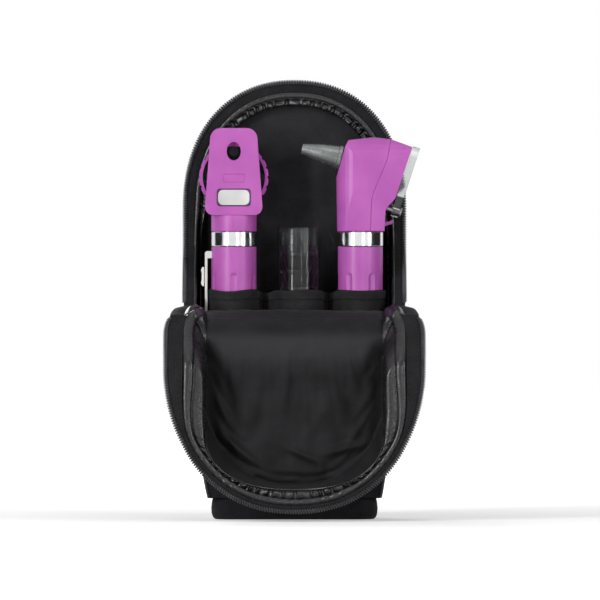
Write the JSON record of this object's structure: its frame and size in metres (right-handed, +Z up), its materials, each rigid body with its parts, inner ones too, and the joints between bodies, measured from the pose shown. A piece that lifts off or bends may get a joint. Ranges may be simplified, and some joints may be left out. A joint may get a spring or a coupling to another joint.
{
  "type": "otoscope carry case",
  "caption": "Soft zipped case with its lid hanging open, holding a pocket ophthalmoscope, a pocket otoscope and a clear tube of spare specula in fabric sleeves",
  "frame": {"origin": "middle of the flat face that the case stands on, in the case's middle plane", "axes": "+Z up, the open front and the hanging lid face -Y, +X to the viewer's right"},
  "size_m": [0.121, 0.0932, 0.206],
  "materials": {
    "case_fabric": "matt woven",
    "base_fabric": "matt woven over a stiff tray",
    "lining": "fine weave",
    "satin": "satin",
    "zip_tape": "woven tape",
    "zip_teeth": "gloss",
    "zip_metal": "dark nickel",
    "purple_plastic": "satin gloss",
    "chrome": "polished",
    "white_plastic": "satin",
    "window_grey": "satin",
    "clear_plastic": "clear",
    "lens_glass": "clear",
    "speculum_grey": "metallic grey",
    "black_plastic": "gloss",
    "steel": "satin",
    "battery": "painted sleeve"
  },
  "bodies": {
    "case": {"base_tray": "base_fabric", "side_gusset": "case_fabric", "back_panel": "case_fabric", "front_panel": "case_fabric", "back_lining": "lining", "back_piping": "case_fabric", "shell_facing": "satin", "shell_zip_tape": "zip_tape", "shell_zip_teeth": "zip_teeth", "sleeve_divider": "lining", "sleeves": "lining", "zip_slider": "zip_metal"},
    "pull_tab": {"zip_pull": "zip_metal"},
    "fold": {"fold_panel": "case_fabric"},
    "lid": {"lid_panel": "case_fabric", "lid_gusset": "case_fabric", "lid_lining": "lining", "lid_facing": "satin", "lid_piping": "satin", "lid_zip_tape": "zip_tape", "lid_zip_teeth": "zip_teeth"},
    "ophthalmoscope": {"oph_handle": "purple_plastic", "oph_end_cap": "purple_plastic", "oph_battery": "battery", "oph_contact_spring": "steel", "oph_collar": "chrome", "oph_clip": "white_plastic", "oph_neck": "purple_plastic", "oph_head": "purple_plastic", "oph_face_plate": "purple_plastic", "oph_dial_window": "window_grey", "oph_lamp": "steel"},
    "oph_dial": {"oph_lens_dial": "purple_plastic", "oph_dial_lenses": "lens_glass"},
    "oph_slider": {"oph_switch": "white_plastic"},
    "otoscope": {"oto_handle": "purple_plastic", "oto_end_cap": "purple_plastic", "oto_battery": "battery", "oto_contact_spring": "steel", "oto_collar": "chrome", "oto_clip": "white_plastic", "oto_head_front": "purple_plastic", "oto_head_rear": "purple_plastic", "oto_speculum_seat": "black_plastic", "oto_lamp": "steel", "oto_window_pin": "steel"},
    "oto_slider": {"oto_switch": "white_plastic"},
    "viewing_window": {"oto_window": "clear_plastic"},
    "speculum": {"oto_speculum": "speculum_grey"},
    "tube": {"specula_tube": "clear_plastic"},
    "spares": {"spare_specula": "black_plastic"}
  },
  "joints": [
    {"name": "fold_turn", "type": "hinge", "parent": "case", "child": "fold", "pos_m": [0, -0.022, 0.097], "axis": [1, 0, 0], "range_deg": [-80, 0]},
    {"name": "lid_turn", "type": "hinge", "parent": "fold", "child": "lid", "pos_m": [0, -0.038, 0.093], "axis": [1, 0, 0], "range_deg": [-70, 0]},
    {"name": "pull_swing", "type": "hinge", "parent": "case", "child": "pull_tab", "pos_m": [0.05151, -0.02552, 0.0919], "axis": [-1, 0, 0], "range_deg": [0, 120]},
    {"name": "ophthalmoscope_lift", "type": "slide", "parent": "case", "child": "ophthalmoscope", "axis": [0, 0, 1], "range_m": [0, 0.062]},
    {"name": "otoscope_lift", "type": "slide", "parent": "case", "child": "otoscope", "axis": [0, 0, 1], "range_m": [0, 0.062]},
    {"name": "tube_lift", "type": "slide", "parent": "case", "child": "tube", "axis": [0, 0, 1], "range_m": [0, 0.028]},
    {"name": "spares_lift", "type": "slide", "parent": "tube", "child": "spares", "axis": [0, 0, 1], "range_m": [0, 0.036]},
    {"name": "dial_turn", "type": "hinge", "parent": "ophthalmoscope", "child": "oph_dial", "pos_m": [-0.0285, -0.0102, 0.1607], "axis": [0, 1, 0], "continuous": true},
    {"name": "oph_switch_slide", "type": "slide", "parent": "ophthalmoscope", "child": "oph_slider", "axis": [0, 0, 1], "range_m": [0, 0.004]},
    {"name": "oto_switch_slide", "type": "slide", "parent": "otoscope", "child": "oto_slider", "axis": [0, 0, 1], "range_m": [0, 0.004]},
    {"name": "window_swing", "type": "hinge", "parent": "otoscope", "child": "viewing_window", "pos_m": [0.04757, -0.007, 0.14476], "axis": [0.9495, 0, -0.3138], "range_deg": [0, 90]},
    {"name": "speculum_pull", "type": "slide", "parent": "otoscope", "child": "speculum", "axis": [-0.9711, 0, 0.2385], "range_m": [0, 0.011]}
  ]
}
